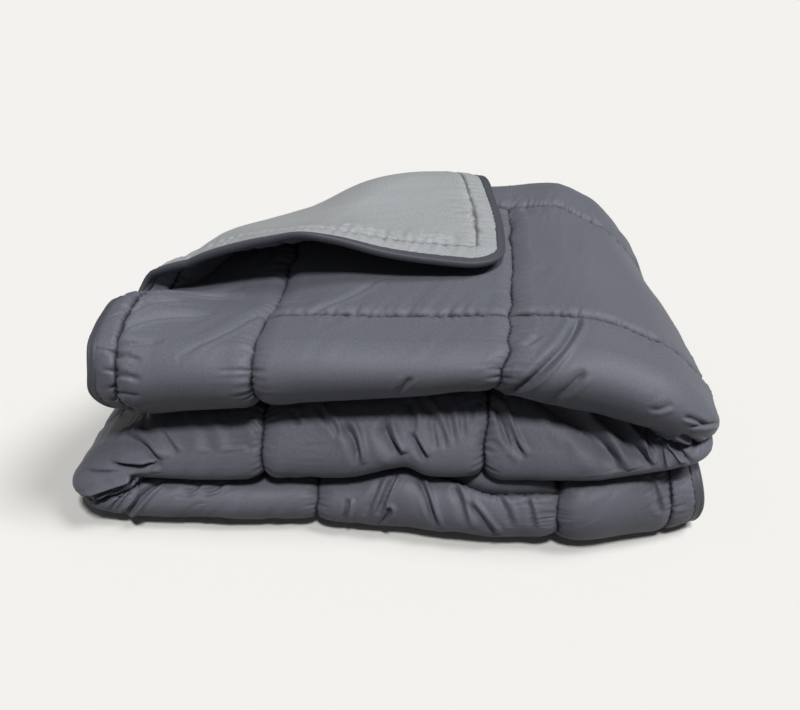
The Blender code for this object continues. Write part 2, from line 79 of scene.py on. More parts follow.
# ---- The flat duvet, as in the part's source
LENGTH = 2.20  # u, the side that is folded in three
WIDTH = 2.40  # v, the side that is folded in four
CORNER_RADIUS = 0.045
BINDING_WIDTH = 0.011
HEM_SEAM = 0.036  # from the duvet's edge to the seam that runs along it
LEAF = 0.017  # thickness of one leaf at a pillow's crown
LEAF_GAP = 0.0045  # between two leaves of a section
HALF = LEAF / 2
PITCH = LEAF + LEAF_GAP  # from one leaf's middle to the next
SEAMS_U = np.array([0.155, 0.424, 0.690, 0.962, 1.210, 1.480, 1.754, 2.006])
BORDER_V = 0.2515
CELL_V = 0.271
SEAMS_V = BORDER_V + CELL_V * np.arange(8)


def edge_distance(u, v):
    """How far a flat point lies inside the duvet's rounded outline."""
    from_end = np.minimum(u, LENGTH - u)
    from_side = np.minimum(v, WIDTH - v)
    a = CORNER_RADIUS - from_end
    b = CORNER_RADIUS - from_side
    return np.where((a > 0) & (b > 0), CORNER_RADIUS - np.hypot(a, b), np.minimum(from_end, from_side))


NOISE_REACH = 1.5  # slanting lines draw on noise past the duvet's end, up to this many lengths


def noise(u, v, scale_u, scale_v, seed):
    """Smooth noise from -1 to 1 over the flat duvet."""
    random = np.random.default_rng(seed)
    values = random.uniform(-1, 1, (int(WIDTH / scale_v) + 3, int(NOISE_REACH * LENGTH / scale_u) + 3))
    across, down = u / scale_u, v / scale_v
    i, j = down.astype(int), across.astype(int)
    a, b = smooth_step(down - i), smooth_step(across - j)
    near = values[i, j] * (1 - b) + values[i, j + 1] * b
    far = values[i + 1, j] * (1 - b) + values[i + 1, j + 1] * b
    return near * (1 - a) + far * a


# ---- Folded in four across the width, as in the part's source: v at each fold's apex
FRONT_FOLD_V = 0.649  # the outer fold, which shows along the front
BACK_FOLD_V = 1.22
INNER_FOLD_SETBACK = 0.006  # of the inner front fold, behind the outer one
OUTER_RADIUS = 1.5 * PITCH  # of the outer fold's middle surface
INNER_RADIUS = 0.5 * PITCH  # of the back fold and the inner front fold
SECTION = 3 * PITCH + LEAF  # thickness of a section of four leaves
FRONT_NEUTRAL = OUTER_RADIUS + HALF  # the radius at which a fold takes up its length of cloth
INNER_NEUTRAL = INNER_RADIUS + HALF
FRONT_Y = OUTER_RADIUS + HALF
LEAF_END_V = FRONT_FOLD_V - QUARTER * FRONT_NEUTRAL  # the top leaf is flat up to here
BACK_Y = FRONT_Y + BACK_FOLD_V - FRONT_FOLD_V - QUARTER * (FRONT_NEUTRAL + INNER_NEUTRAL)
INNER_Y = FRONT_Y + INNER_FOLD_SETBACK
INNER_FOLD_V = BACK_FOLD_V + BACK_Y - INNER_Y + 2 * QUARTER * INNER_NEUTRAL


def round_fold(v, apex, neutral):
    """The angle turned through from a fold's apex to v, and the straight length beyond the fold."""
    angle = np.clip((v - apex) / neutral, -QUARTER, QUARTER)
    return angle, np.maximum(np.abs(v - apex) - QUARTER * neutral, 0)


def fold_in_four(v, n):
    """Depth y, and height q above the section's middle plane, of a point n above the middle surface."""
    front, off_front = round_fold(v, FRONT_FOLD_V, FRONT_NEUTRAL)
    back, off_back = round_fold(v, BACK_FOLD_V, INNER_NEUTRAL)
    inner, off_inner = round_fold(v, INNER_FOLD_V, INNER_NEUTRAL)
    zones = [v < (FRONT_FOLD_V + BACK_FOLD_V) / 2, v < (BACK_FOLD_V + INNER_FOLD_V) / 2]
    y_front = FRONT_Y - (OUTER_RADIUS + n) * np.cos(front) + off_front
    y_back = BACK_Y + (INNER_RADIUS + n) * np.cos(back) - off_back
    y_inner = INNER_Y - (INNER_RADIUS - n) * np.cos(inner) + off_inner
    q_front = -(OUTER_RADIUS + n) * np.sin(front)
    q_back = -PITCH + (INNER_RADIUS + n) * np.sin(back)
    q_inner = (INNER_RADIUS - n) * np.sin(inner)
    return np.select(zones, [y_front, y_back], y_inner), np.select(zones, [q_front, q_back], q_inner)


# ---- Folded in three along the length, as in the part's source
SECTION_GAP = 0.006
TURN_RADIUS = (SECTION + SECTION_GAP) / 2
TURN_NEUTRAL = TURN_RADIUS + PITCH
TURN_LENGTH = math.pi * TURN_NEUTRAL  # length of duvet taken up by a turn
LEFT_TURN_X = -0.284
RIGHT_TURN_X = 0.271
BOTTOM_END_X = 0.337
BOTTOM_LENGTH = BOTTOM_END_X - LEFT_TURN_X
MIDDLE_LENGTH = RIGHT_TURN_X - LEFT_TURN_X
TOP_LENGTH = LENGTH - 2 * TURN_LENGTH - BOTTOM_LENGTH - MIDDLE_LENGTH
TOP_END_X = RIGHT_TURN_X - TOP_LENGTH
LEFT_TURN_U = BOTTOM_LENGTH
MIDDLE_U = LEFT_TURN_U + TURN_LENGTH
RIGHT_TURN_U = MIDDLE_U + MIDDLE_LENGTH
TOP_U = RIGHT_TURN_U + TURN_LENGTH
BOTTOM_Z = SECTION / 2
MIDDLE_Z = BOTTOM_Z + 2 * TURN_RADIUS
TOP_Z = MIDDLE_Z + 2 * TURN_RADIUS


def fold_in_three(u, q):
    """x and z of a point q above the middle plane of the strip at u."""
    left = np.clip((u - LEFT_TURN_U) / TURN_NEUTRAL, 0, math.pi)
    right = np.clip((u - RIGHT_TURN_U) / TURN_NEUTRAL, 0, math.pi)
    off_left = np.maximum(LEFT_TURN_U - u, 0) + np.maximum(u - MIDDLE_U, 0)
    off_right = np.maximum(RIGHT_TURN_U - u, 0) + np.maximum(u - TOP_U, 0)
    near_left = u < (MIDDLE_U + RIGHT_TURN_U) / 2
    x_left = LEFT_TURN_X + off_left - (TURN_RADIUS - q) * np.sin(left)
    x_right = RIGHT_TURN_X - off_right + (TURN_RADIUS + q) * np.sin(right)
    z_left = BOTTOM_Z + TURN_RADIUS - (TURN_RADIUS - q) * np.cos(left)
    z_right = MIDDLE_Z + TURN_RADIUS - (TURN_RADIUS + q) * np.cos(right)
    return np.where(near_left, x_left, x_right), np.where(near_left, z_left, z_right)


# ---- The corner that is turned back
CREASE_Y = 0.165  # the crease starts here on the top leaf's left end, behind the front
CREASE_ANGLE = math.radians(44)
ACROSS = (-math.sin(CREASE_ANGLE), math.cos(CREASE_ANGLE))  # from the crease to the duvet's corner
TOP_FACE_Z = TOP_Z + OUTER_RADIUS
FLAP_GAP = 0.006
FLAP_RADIUS = HALF + FLAP_GAP / 2
FLAP_BEND = math.pi * FLAP_RADIUS
FLAP_EDGE_REST = 0.0065  # height of the flap's middle over the leaf below, at its edge
FLAP_EDGE_RISE = 0.09  # and how fast it rises from there
# How far the flap's front edge stands off the leaf below, from the duvet's corner along the edge.
LIFT_BY_V = np.array([
    # v,   lift
    (0.00, 0.004),
    (0.07, 0.010),
    (0.13, 0.018),
    (0.18, 0.030),
    (0.215, 0.034),
    (0.26, 0.025),
    (0.30, 0.018),
    (0.35, 0.013),
    (0.42, 0.006),
    (0.47, 0.000),
])
LIFT_REACH = 0.16  # how far in from the front edge that is felt
LIFT_REACH_LEFT = 0.115  # and how far at its left end
LIFT_NARROWS_V = 0.15  # it narrows from here on
LIFT_NARROWING = 0.09  # over this length
# The top leaf's free end stands up before it turns over.
END_RISE_BY_V = np.array([
    # v,   rise
    (0.36, 0.000),
    (0.42, 0.016),
    (0.46, 0.031),
    (0.50, 0.040),
    (0.55, 0.026),
    (0.59, 0.010),
    (0.64, 0.000),
])
END_RISE_REACH = 0.13
FLAP_LEAN = 0.26  # the turned-back side edge leans to the left, towards the back
FLAP_LEAN_Y = 0.28  # from about here on
FLAP_LEAN_EASE = 0.07  # and softly so
FLAP_LEAN_REACH = 0.30  # how far from the duvet's side edge that is felt
FLAP_SHIFT = 0.005  # the edge as a whole lies this much further left


def beyond_line(x, y):
    """How far a place lies beyond the crease's line, towards where the duvet's corner was."""
    return (x - TOP_END_X) * ACROSS[0] + (y - CREASE_Y) * ACROSS[1]


def past_crease(u, v):
    """How far a point of the top leaf lies beyond the crease, towards the corner. Negative elsewhere."""
    past = beyond_line(RIGHT_TURN_X - (u - TOP_U), FRONT_Y + LEAF_END_V - v)
    return np.where((u > TOP_U) & (v < LEAF_END_V), past, -1.0)


def turn_back(u, v, n, x, y, z):
    """Carries the points beyond the crease over it, onto the top leaf."""
    past = past_crease(u, v)
    beyond = past > 0
    bend = np.clip(past / FLAP_RADIUS, 0, math.pi)
    shift = (FLAP_RADIUS - n) * np.sin(bend) - np.maximum(past - FLAP_BEND, 0) - past
    laid = bend / math.pi
    in_from_edge = np.maximum(edge_distance(u, v), 0)
    sag = HALF - np.minimum(HALF, FLAP_EDGE_REST + FLAP_EDGE_RISE * in_from_edge)
    narrowing = smooth_step((v - LIFT_NARROWS_V) / LIFT_NARROWING)
    lift_reach = LIFT_REACH + (LIFT_REACH_LEFT - LIFT_REACH) * narrowing
    lift = smooth_table(v, LIFT_BY_V) * np.clip(1 - (LENGTH - u) / lift_reach, 0, 1) ** 2
    turned_z = TOP_FACE_Z + FLAP_RADIUS - (FLAP_RADIUS - n) * np.cos(bend) + (lift - sag) * laid
    turned_y = y + ACROSS[1] * shift
    behind = turned_y - FLAP_LEAN_Y
    lean = FLAP_LEAN * (behind + np.hypot(behind, FLAP_LEAN_EASE)) / 2 + FLAP_SHIFT
    lean = lean * laid * smooth_step(1 - v / FLAP_LEAN_REACH)
    end_rise = smooth_table(v, END_RISE_BY_V) * smooth_step(1 - (LENGTH - u) / END_RISE_REACH)
    return (
        np.where(beyond, x + ACROSS[0] * shift - lean, x),
        np.where(beyond, turned_y, y),
        np.where(beyond, turned_z, z) + np.where((u > TOP_U) & (v < FRONT_FOLD_V), end_rise, 0),
    )


# ---- How the pile settles
# Thickness of each section along the front.
SECTIONS_BY_X = np.array([
    # x,    bottom, middle, top
    (-0.38, 0.052, 0.063, 0.081),
    (-0.25, 0.058, 0.074, 0.098),
    (-0.10, 0.060, 0.092, 0.089),
    (0.00, 0.070, 0.091, 0.082),
    (0.10, 0.076, 0.096, 0.076),
    (0.20, 0.088, 0.072, 0.090),
    (0.28, 0.098, 0.048, 0.082),
    (0.36, 0.090, 0.044, 0.060),
])
# The pile's height from front to back, as a share of its height along the front.
HEIGHT_BY_Y = np.array([
    # y,   share
    (0.00, 0.97),
    (0.10, 0.99),
    (0.25, 1.05),
    (0.36, 1.09),
    (0.44, 1.10),
    (0.50, 1.01),
    (0.56, 0.85),
    (0.62, 0.68),
    (0.68, 0.54),
    (0.74, 0.46),
])
CORNER_SLUMP = 0.52  # share of the height that is lost behind the turned-back corner
SLUMP_LENGTH = 0.46  # over this distance
SLUMP_LEAD = 0.11  # which starts this far before the crease, at the left
LEAD_X = 0.06  # and at the crease from here on
LEAD_REACH = 0.22
# Low rises and dips of the top section.
TOP_BUMPS = np.array([
    # x,    y,     reach, rise
    (0.262, 0.515, 0.070, 0.012),
    (-0.262, 0.290, 0.062, 0.013),
    (-0.270, 0.240, 0.040, -0.005),
])
NOSE_RISE = 0.024  # the top section's front left end stands this much higher
NOSE_X, NOSE_REACH_X, NOSE_REACH_Y = -0.26, 0.09, 0.15
# The middle section is tucked up at the front, where the bottom one bulges under it.
TUCKS = np.array([
    # x,    width, rise
    (0.002, 0.032, 0.011),
    (0.016, 0.014, 0.005),
    (0.075, 0.030, 0.005),
    (-0.110, 0.060, 0.002),
])
TUCK_REACH = 0.14
# How far the front of each section stands back.
FRONT_BY_X = np.array([
    # x,    bottom, middle, top
    (-0.38, 0.004, 0.006, 0.010),
    (-0.25, 0.003, 0.004, 0.000),
    (-0.09, 0.015, 0.004, 0.004),
    (0.02, 0.008, 0.008, 0.010),
    (0.11, 0.001, 0.012, 0.012),
    (0.17, 0.005, 0.006, 0.004),
    (0.22, 0.004, 0.005, 0.002),
    (0.27, 0.020, 0.004, 0.000),
    (0.36, 0.056, 0.010, 0.012),
])
FRONT_REACH = 0.35  # from the front to where that has faded
FRONT_BLEND = 1.3  # a section's setback ends this many sections from its middle
TILTS = (-0.015, 0.026, -0.003)  # how far each section's front leans back as it rises
TILTS_AT = (0.43, 0.10, 0.85)  # the height, in sections, that keeps its place
# How far the pile leans to the right at each height.
LEAN_BY_Z = np.array([
    # z,   left,   middle
    (0.000, -0.020, 0.000),
    (0.025, -0.014, 0.000),
    (0.050, -0.006, 0.000),
    (0.125, 0.026, 0.000),
    (0.146, 0.016, 0.000),
    (0.170, 0.010, 0.001),
    (0.200, 0.013, 0.006),
    (0.220, 0.011, 0.012),
    (0.250, 0.004, 0.024),
    (0.310, 0.004, 0.052),
])
LEAN_LEFT_X, LEAN_LEFT_REACH = -0.36, 0.24
LEAN_MIDDLE_X, LEAN_MIDDLE_REACH = 0.11, 0.25
RIGHT_PULL = 0.13  # how fast the right side is drawn in towards the back
PULL_FROM_Y = 0.08
RIGHT_DENT, DENT_Y, DENT_REACH = 0.012, 0.36, 0.10
# The right end is drawn in at one height and let out at another.
RIGHT_END_BY_Z = np.array([
    # z,   inwards
    (0.000, -0.006),
    (0.050, -0.010),
    (0.080, -0.004),
    (0.105, 0.003),
    (0.140, 0.003),
    (0.170, 0.000),
])
RIGHT_END_X, RIGHT_END_REACH = 0.24, 0.10
# The pile is hollow under the turned-back corner's front edge.
HOLLOW = 0.024
HOLLOW_X, HOLLOW_REACH_X = -0.19, 0.13
HOLLOW_Y, HOLLOW_REACH_Y = 0.195, 0.060
HOLLOW_FOOT, HOLLOW_EASE = 0.12, 0.08  # it fades down to this height, over this much
PLAN_MIDDLE = (-0.01256, 0.33214)  # what the part's source moves to the origin
SECTION_TOPS = (BOTTOM_Z + TURN_RADIUS, MIDDLE_Z + TURN_RADIUS, TOP_Z + SECTION / 2)
SECTION_FEET = (0.0, *SECTION_TOPS[:-1])


def kept_share(x, y):
    """Share of its height along the front that the pile has at a place."""
    lead = SLUMP_LEAD * smooth_step((LEAD_X - x) / LEAD_REACH)
    slump = smooth_step((beyond_line(x, y) + lead) / SLUMP_LENGTH)
    return smooth_table(y, HEIGHT_BY_Y) * (1 - CORNER_SLUMP * slump)


def settled_height(x, y, z):
    """The height at which a point of the evenly folded pile comes to lie."""
    share = kept_share(x, y)
    height = 0.0
    for section, (foot, top) in enumerate(zip(SECTION_FEET, SECTION_TOPS), start=1):
        filled = np.clip((z - foot) / (top - foot), 0, None if top == SECTION_TOPS[-1] else 1)
        height = height + filled * share * smooth_table(x, SECTIONS_BY_X, section)
    in_top = np.clip(filled, 0, 1)
    nose = smooth_step((NOSE_X - x) / NOSE_REACH_X) * smooth_step(1 - y / NOSE_REACH_Y)
    height = height + NOSE_RISE * nose * in_top
    for bump_x, bump_y, reach, rise in TOP_BUMPS:
        height = height + rise * mound((x - bump_x) / reach, (y - bump_y) / reach) * in_top
    bottom = share * smooth_table(x, SECTIONS_BY_X, 1)
    middle = share * smooth_table(x, SECTIONS_BY_X, 2)
    over_bottom = height - bottom
    near_joint = smooth_step(1 + over_bottom / bottom) * smooth_step(1 - over_bottom / middle)
    for tuck_x, width, rise in TUCKS:
        at_front = mound((x - tuck_x) / width) * smooth_step(1 - y / TUCK_REACH)
        height = height + rise * at_front * near_joint
    return height


def set_back(x, y, z):
    """y of a point, with each section's front as far back as it stands."""
    setback = 0.0
    for section, (foot, top) in enumerate(zip(SECTION_FEET, SECTION_TOPS), start=1):
        from_middle = np.abs(z - (top + foot) / 2) / (top - foot)
        risen = np.clip((z - foot) / (top - foot), 0, 1)
        tilt = TILTS[section - 1] * (risen - TILTS_AT[section - 1])
        column = smooth_table(x, FRONT_BY_X, section)
        setback = setback + (column + tilt) * smooth_step(FRONT_BLEND - from_middle)
    return y + setback * np.clip(1 - y / FRONT_REACH, 0, 1)


def leaned(x, y, height):
    """x of a settled point, with the pile's lean and its drawn-in right side."""
    left = smooth_step((LEAN_LEFT_X + LEAN_LEFT_REACH - x) / LEAN_LEFT_REACH)
    middle = smooth_step(1 - np.abs(x - LEAN_MIDDLE_X) / LEAN_MIDDLE_REACH)
    lean = left * smooth_table(height, LEAN_BY_Z, 1)
    lean = lean + middle * smooth_table(height, LEAN_BY_Z, 2)
    pull = RIGHT_PULL * np.maximum(y - PULL_FROM_Y, 0) + RIGHT_DENT * mound((y - DENT_Y) / DENT_REACH)
    pull = pull * smooth_step(x / RIGHT_TURN_X)
    right_end = smooth_step((x - RIGHT_END_X) / RIGHT_END_REACH)
    pull = pull + smooth_table(height, RIGHT_END_BY_Z) * right_end
    return x + lean - pull


def fold(u, v, n):
    """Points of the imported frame, for points n above the flat duvet's middle surface at (u, v)."""
    y, q = fold_in_four(v, n)
    x, z = fold_in_three(u, q)
    x, y, z = turn_back(u, v, n, x, y, z)
    height = settled_height(x, y, z)
    x, y = leaned(x, y, height), set_back(x, y, z)
    laid = np.clip(past_crease(u, v) / FLAP_BEND, 0, 1)
    near = mound((x - HOLLOW_X) / HOLLOW_REACH_X, (y - HOLLOW_Y) / HOLLOW_REACH_Y)
    height = height - HOLLOW * near * (1 - laid) * smooth_step((height - HOLLOW_FOOT) / HOLLOW_EASE)
    return np.stack([x - PLAN_MIDDLE[0], y - PLAN_MIDDLE[1], height], axis=-1)


# ---- The quilting's pattern
# Along the bottom section the quilting lies further round the fold, so that a seam shows there.
SLIP = 0.084
SLIP_END = (0.22, 0.42)  # it fades out between these two u
SLIP_REACH = 0.20
SEAM_WAVER = 0.0027  # the quilting's lines across the strip aren't straight
WAVER_LENGTH = 0.026
WAVER_SEED = 51


def slid(u, row):
    """v of the flat points on a row of the quilting's pattern."""
    along = smooth_step(u / SEAMS_U[0]) * smooth_step((SLIP_END[1] - u) / (SLIP_END[1] - SLIP_END[0]))
    return row + SLIP * along * smooth_step(1 - np.abs(row - SEAMS_V[1]) / SLIP_REACH)


def wavered(u, row):
    """u of the flat points on a column of the quilting's pattern."""
    inside = smooth_step(edge_distance(u, row) / HEM_SEAM - 1)
    return u + SEAM_WAVER * inside * noise(u, row, 2 * WAVER_LENGTH, WAVER_LENGTH, WAVER_SEED)


def seam_distances(u, row):
    """Distances from the quilting's two sets of seams. It stops short of the duvet's edges."""
    to_u = np.abs(u[..., None] - SEAMS_U).min(axis=-1)
    to_v = np.abs(row[..., None] - SEAMS_V).min(axis=-1)
    past_u = np.maximum(np.maximum(SEAMS_U[0] - u, u - SEAMS_U[-1]), 0)
    past_v = np.maximum(np.maximum(SEAMS_V[0] - row, row - SEAMS_V[-1]), 0)
    return np.hypot(to_u, past_v), np.hypot(to_v, past_u)


def hem_distances(u, row):
    """Distances from the hem's seam along the two ends, and along the two sides."""
    return np.abs(np.minimum(u, LENGTH - u) - HEM_SEAM), np.abs(np.minimum(row, WIDTH - row) - HEM_SEAM)


# Gathers: ridges that run out from a seam, fine beside it and broader further off.
GATHERS = np.array([
    # spacing, height, reach
    (0.0070, 0.0009, 0.007),
    (0.0130, 0.0020, 0.015),
    (0.0270, 0.0024, 0.032),
])
GATHER_LENGTH = 3.6  # a ridge's length, in spacings
GATHER_START = 0.0012  # they rise this far from the stitches
QUILT_GATHERS, HEM_GATHERS = 1.25, 1.7
CROSS_GATHERS = 0.70  # their share beside the seams that run along the strip
NOSE_GATHERS = 1.6  # and more on the top section's end
# Wrinkles all over the cloth, slanting down its fold.
WRINKLES = np.array([
    # spacing, length, height
    (0.016, 0.060, 0.0022),
    (0.036, 0.120, 0.0036),
])
WRINKLE_SLANT = 0.45
WRINKLE_ROW = 0.66  # they slant away from this row, to both sides
TOP_WRINKLES = 0.32  # their share on the top section
WRINKLE_SEED = 40  # what is added to a piece's own seed for its wrinkles
SEEDS_EACH = 10  # and for each row of gathers
FROM_U, FROM_V = 1, 2  # and for each of its two sets of ridges
# Stretches of the cloth are gathered more or less, each by its own amount.
PATCHES = 0.055  # size of such a stretch
UNEVENNESS = 0.9
MOST = 2.0
RIDGE_STRENGTH = (0.75, 0.15)  # mean and least, of the ridges that the cloth starts with
CLOTH_STRENGTH = (1.0, 0.2)  # the same, of its extra length


def patches(u, row, seed, mean, least):
    """How strongly the cloth is gathered at a point of the pattern."""
    return np.clip(mean + UNEVENNESS * noise(u, row, PATCHES, PATCHES, seed), least, MOST)


def gathered(u, row, face, seed):
    """Height of the gathers at a point of the pattern."""
    to_u, to_v = seam_distances(u, row)
    to_end, to_side = hem_distances(u, row)
    quilted = QUILT_GATHERS if face else 0.0
    strength = patches(u, row, seed, *RIDGE_STRENGTH)
    height = np.zeros(u.shape)
    under_top = 1 - (1 - TOP_WRINKLES) * smooth_step((u - RIGHT_TURN_U) / TURN_LENGTH)
    slant = u + WRINKLE_SLANT * np.abs(row - WRINKLE_ROW)
    for order, (spacing, length, rise) in enumerate(WRINKLES):
        wrinkles = noise(slant, row, spacing, length, seed + WRINKLE_SEED + order)
        height += under_top * rise * strength * wrinkles
    height *= smooth_step(edge_distance(u, row) / HEM_SEAM - 1)
    for order, (spacing, rise, reach) in enumerate(GATHERS):
        long = GATHER_LENGTH * spacing
        from_u = noise(u, row, long, spacing, seed + SEEDS_EACH * order + FROM_U)
        from_v = noise(u, row, spacing, long, seed + SEEDS_EACH * order + FROM_V)
        for distance, ridges, share in (
            (to_u, from_u, quilted),
            (to_v, from_v, CROSS_GATHERS * quilted),
            (to_end, from_u, HEM_GATHERS * np.where(u > TOP_U, NOSE_GATHERS, 1)),
            (to_side, from_v, HEM_GATHERS),
        ):
            fades = np.exp(-distance / reach) * (1 - np.exp(-distance / GATHER_START))
            height += share * rise * strength * ridges * fades
    return height


MM = 0.001
# Creases where the folded pile presses or hangs, each from one flat point through a middle one, in
# millimetres.
FACE_CREASES = [
    # u1, v1, u2, v2, u3, v3, width, depth
    # the left turn, between the bottom and the middle section
    (800, 622, 745, 629, 700, 668, 6.0, 9.5),
    (790, 612, 715, 632, 675, 675, 4.5, 4.7),
    (760, 605, 690, 615, 655, 660, 4.0, 2.7),
    (765, 668, 795, 646, 845, 641, 4.5, 6.8),
    (740, 690, 755, 660, 790, 640, 5.0, 2.7),
    # the bottom section
    (598, 596, 615, 620, 636, 680, 5.0, 9.0),
    (556, 598, 560, 607, 569, 616, 3.4, 2.7),
    (530, 596, 536, 605, 549, 613, 4.0, 2.7),
    (387, 622, 388, 640, 391, 665, 3.0, 4.2),
    (352, 600, 357, 620, 368, 650, 4.5, 2.7),
    (333, 596, 343, 621, 352, 650, 3.8, 6.3),
    (343, 640, 340, 648, 352, 668, 3.0, 4.5),
    (308, 597, 299, 618, 284, 660, 3.6, 5.4),
    (272, 603, 262, 620, 252, 655, 4.5, 3.0),
    (256, 622, 236, 640, 219, 668, 4.5, 3.3),
    (225, 610, 212, 625, 204, 650, 5.0, 2.1),
    (190, 612, 184, 630, 178, 655, 4.0, 1.8),
    (58, 600, 52, 620, 47, 645, 3.5, 2.7),
    # the middle section
    (782, 697, 807, 667, 840, 645, 5.5, 9.0),
    (823, 685, 841, 669, 858, 655, 3.5, 3.3),
    (945, 690, 955, 680, 960, 672, 3.0, 1.8),
    (995, 702, 1000, 690, 1005, 680, 3.0, 2.7),
    (1022, 706, 1030, 690, 1038, 680, 3.0, 3.6),
    (1034, 692, 1042, 680, 1050, 668, 3.0, 3.3),
    (1052, 680, 1067, 663, 1072, 637, 4.5, 8.7),
    (1096, 682, 1107, 657, 1120, 638, 6.0, 9.3),
    (1120, 704, 1128, 690, 1132, 666, 4.0, 3.3),
    (1127, 668, 1138, 652, 1148, 640, 4.0, 6.3),
    (1136, 704, 1158, 672, 1168, 650, 4.2, 3.6),
    (1148, 680, 1154, 664, 1158, 650, 3.4, 3.0),
    (1163, 704, 1170, 680, 1177, 652, 4.0, 2.7),
    (1180, 700, 1184, 680, 1186, 660, 3.5, 1.8),
    (1197, 695, 1194, 682, 1193, 670, 3.0, 2.1),
    (1213, 704, 1226, 676, 1238, 650, 3.4, 6.3),
    (1222, 698, 1236, 668, 1254, 645, 3.6, 5.1),
    (1262, 712, 1319, 685, 1352, 636, 10.0, 12.8),
    (1318, 712, 1352, 690, 1390, 645, 8.8, 14.2),
    (1360, 706, 1385, 690, 1410, 670, 4.5, 3.9),
    # the top section
    (1683, 530, 1704, 595, 1756, 694, 5.2, 8.2),
    (1672, 618, 1684, 640, 1700, 676, 6.0, 3.4),
    (1597, 640, 1584, 636, 1573, 624, 3.5, 1.4),
    (1727, 569, 1733, 580, 1742, 594, 4.0, 2.0),
    (1843, 632, 1848, 645, 1856, 664, 4.0, 3.0),
    (2168, 545, 2128, 478, 2050, 446, 6.0, 7.5),
    (2166, 585, 2130, 545, 2070, 522, 5.0, 3.4),
    (2165, 505, 2120, 452, 2060, 425, 5.0, 6.0),
    (2166, 560, 2140, 520, 2110, 500, 4.0, 4.5),
    (2164, 600, 2140, 592, 2110, 588, 4.0, 2.4),
    (2195, 560, 2180, 556, 2168, 548, 3.0, 3.0),
    (2196, 520, 2182, 512, 2168, 508, 3.0, 3.4),
    (2196, 585, 2184, 578, 2170, 575, 2.8, 2.6),
    (1960, 520, 1930, 490, 1900, 440, 5.0, 1.6),
    (2090, 610, 2040, 560, 2010, 500, 6.0, 1.4),
    # the right turn
    (1556, 634, 1540, 626, 1522, 622, 3.5, 2.6),
    (1540, 640, 1525, 620, 1512, 600, 4.0, 2.3),
    (1525, 655, 1503, 648, 1478, 632, 4.5, 6.2),
    (1490, 668, 1462, 654, 1440, 628, 5.0, 5.2),
    (1470, 680, 1430, 668, 1405, 640, 4.5, 3.4),
]
# Short creases at the hem's seam, on the top section's front left end.
NOSE_BAND = (
    # v,  depth
    (532, 2.2),
    (604, 2.6),
    (622, 2.9),
    (638, 2.4),
    (653, 2.9),
    (670, 2.6),
    (686, 2.0),
)
NOSE_INSIDE = (
    # v,  depth
    (612, 1.7),
    (629, 2.2),
    (646, 2.0),
    (662, 2.2),
    (678, 1.5),
)
FACE_CREASES += [(2160, v, 2176, v + 3, 2192, v + 1, 2.5, depth) for v, depth in NOSE_BAND]
FACE_CREASES += [(2166, v, 2150, v - 3, 2130, v - 2, 2.7, depth) for v, depth in NOSE_INSIDE]
REVERSE_CREASES = [
    # u1, v1, u2, v2, u3, v3, width, depth
    (2158, 30, 2154, 58, 2159, 88, 2.8, 5.0),
    (2150, 50, 2146, 75, 2149, 98, 2.4, 2.6),
    (2157, 118, 2150, 140, 2154, 165, 2.6, 4.4),
    (2148, 150, 2140, 166, 2141, 180, 2.4, 2.4),
    (2130, 30, 2090, 40, 2050, 36, 2.8, 3.6),
]
CREASES = (MM * np.array(REVERSE_CREASES), MM * np.array(FACE_CREASES))
CREASE_WIDTH = 0.80  # times the tabled width
CREASE_DEPTH = 1.45  # times the tabled depth
NEAR_WIDTH = 0.72  # of the trough's half on the lip's side, as a share of the width
FAR_WIDTH = 1.2  # and of its other half
TROUGH_POWER = 1.25  # the trough's bottom is sharp at 1 and round at 2
CREASE_LIP = 0.60  # how high the cloth stands on one side, as a share of the depth
TOP_CREASE_LIP = 0.22  # less on the top section
CREASE_FAR_LIP = 0.12  # and on the other side
LIP_AT, LIP_WIDTH = 2.5, 1.2  # where it is highest and how broad, in those half widths
LIP_TURNS = 0.06  # the lip changes sides this far past either turn
CREASE_END = 0.15  # a crease starts and ends with this share of its depth
CREASE_TAPER = 0.25  # and grows to its full depth over this share of its length
CREASE_STEP = 0.0014  # it is followed in steps this long
LEAST_STEPS = 8
CREASE_SPREAD = 5  # how many widths away it is still felt


def beside_crease(at_u, at_v, u1, v1, u2, v2, u3, v3):
    """How far flat points lie from a crease, on which side (+ towards larger u), and how far along it."""
    # The middle point lies on the crease, so it pulls a quadratic curve's handle twice as far.
    handle_u, handle_v = 2 * u2 - (u1 + u3) / 2, 2 * v2 - (v1 + v3) / 2
    closest = np.full(at_u.shape, np.inf)
    side = np.zeros(at_u.shape)
    along = np.zeros(at_u.shape)
    length = math.hypot(u2 - u1, v2 - v1) + math.hypot(u3 - u2, v3 - v2)
    for t in np.linspace(0, 1, int(length / CREASE_STEP) + LEAST_STEPS):
        from_u = at_u - ((1 - t) ** 2 * u1 + 2 * t * (1 - t) * handle_u + t * t * u3)
        from_v = at_v - ((1 - t) ** 2 * v1 + 2 * t * (1 - t) * handle_v + t * t * v3)
        along_u = 2 * (1 - t) * (handle_u - u1) + 2 * t * (u3 - handle_u)
        along_v = 2 * (1 - t) * (handle_v - v1) + 2 * t * (v3 - handle_v)
        distance = np.hypot(from_u, from_v)
        nearer = distance < closest
        side = np.where(nearer, (from_u * along_v - from_v * along_u) * np.sign(along_v), side)
        along = np.where(nearer, t, along)
        closest = np.minimum(closest, distance)
    return closest, side, along


